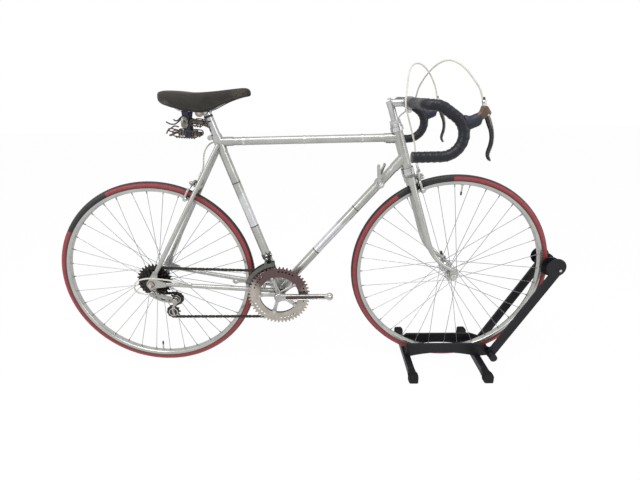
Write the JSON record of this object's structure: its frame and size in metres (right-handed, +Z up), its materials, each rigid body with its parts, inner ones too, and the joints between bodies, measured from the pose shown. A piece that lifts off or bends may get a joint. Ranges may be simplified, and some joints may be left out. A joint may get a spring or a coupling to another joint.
{
  "type": "bicycle",
  "caption": "Vintage lightweight road racing bicycle with drop handlebar and derailleur gears, parked without pedals in a low black floor stand that holds its front wheel",
  "frame": {"origin": "on the floor under the middle of the parked bicycle and its stand", "axes": "+X forward, +Y to the rider's left, +Z up; the drive side is at -Y"},
  "size_m": [1.6993, 0.445, 1.0269],
  "materials": {
    "frame_silver": "metallic silver enamel",
    "polished_alloy": "polished",
    "satin_alloy": "satin",
    "chrome_steel": "bright plated",
    "dark_steel": "oiled dark steel",
    "tyre_rubber": "black tread with red sidewalls",
    "black_tape": "wrapped tape, slight sheen",
    "hood_rubber": "matte",
    "saddle_cover": "suede-like, matte",
    "strap_fabric": "woven",
    "cable_white": "smooth",
    "brake_rubber": "matte",
    "stand_black": "satin black powder coat",
    "foot_rubber": "matte"
  },
  "bodies": {
    "steering": {"stand_cross_bars": "stand_black", "stand_feet": "foot_rubber", "stand_rails": "stand_black", "stand_arms": "stand_black", "stand_bracket": "stand_black", "stand_bolts": "stand_black", "fork_crown": "frame_silver", "fork_blades": "frame_silver", "headset_locknut": "chrome_steel", "stem": "polished_alloy", "handlebar": "polished_alloy", "bar_tape": "black_tape", "brake_hoods": "hood_rubber", "brake_levers": "polished_alloy", "front_brake_caliper": "polished_alloy", "front_brake_pads": "brake_rubber", "front_quick_release": "chrome_steel", "front_brake_cable": "cable_white", "rear_brake_cable_bar": "cable_white"},
    "front_wheel": {"front_tyre": "tyre_rubber", "front_rim": "polished_alloy", "front_spokes": "chrome_steel", "front_hub": "polished_alloy"},
    "frame": {"head_tube": "frame_silver", "headset_cups": "chrome_steel", "bottom_bracket_shell": "frame_silver", "bottom_bracket_cups": "chrome_steel", "seat_tube": "frame_silver", "down_tube": "frame_silver", "top_tube": "frame_silver", "seat_lug": "frame_silver", "chainstays": "frame_silver", "seatstays": "frame_silver", "rear_dropouts": "chrome_steel", "rear_quick_release": "chrome_steel", "rear_brake_caliper": "polished_alloy", "rear_brake_pads": "brake_rubber", "rear_brake_cable_frame": "cable_white", "chain": "dark_steel", "derailleur_pulleys": "dark_steel", "rear_derailleur_cage": "satin_alloy", "rear_derailleur_body": "satin_alloy", "front_derailleur": "satin_alloy", "shift_levers": "satin_alloy", "shift_cables": "cable_white", "saddle": "saddle_cover", "saddle_rails": "chrome_steel", "seatpost": "polished_alloy", "strapped_pedals": "satin_alloy", "saddle_strap": "strap_fabric"},
    "rear_wheel": {"rear_tyre": "tyre_rubber", "rear_rim": "polished_alloy", "rear_spokes": "chrome_steel", "rear_hub": "polished_alloy"},
    "crankset": {"crank_spindle": "chrome_steel", "right_crank": "polished_alloy", "left_crank": "polished_alloy", "outer_chainring": "polished_alloy", "inner_chainring": "polished_alloy"},
    "freewheel": {"freewheel": "dark_steel"}
  },
  "joints": [
    {"name": "front_wheel_spin", "type": "hinge", "parent": "steering", "child": "front_wheel", "pos_m": [0.48123, 0, 0.346], "axis": [0, 1, 0], "continuous": true},
    {"name": "steering_turn", "type": "hinge", "parent": "steering", "child": "frame", "pos_m": [0.32937, 0, 0.67839], "axis": [-0.2872, 0, 0.9579], "range_deg": [-60, 60]},
    {"name": "rear_wheel_spin", "type": "hinge", "parent": "frame", "child": "rear_wheel", "pos_m": [-0.5157, 0, 0.334], "axis": [0, 1, 0], "continuous": true},
    {"name": "crank_spin", "type": "hinge", "parent": "frame", "child": "crankset", "pos_m": [-0.09704, 0, 0.28103], "axis": [0, 1, 0], "continuous": true},
    {"name": "freewheel_spin", "type": "hinge", "parent": "frame", "child": "freewheel", "pos_m": [-0.5157, 0, 0.334], "axis": [0, 1, 0], "continuous": true}
  ],
  "couplings": [
    {"joint": "freewheel_spin", "follows": "crank_spin", "ratio": 1.75}
  ]
}
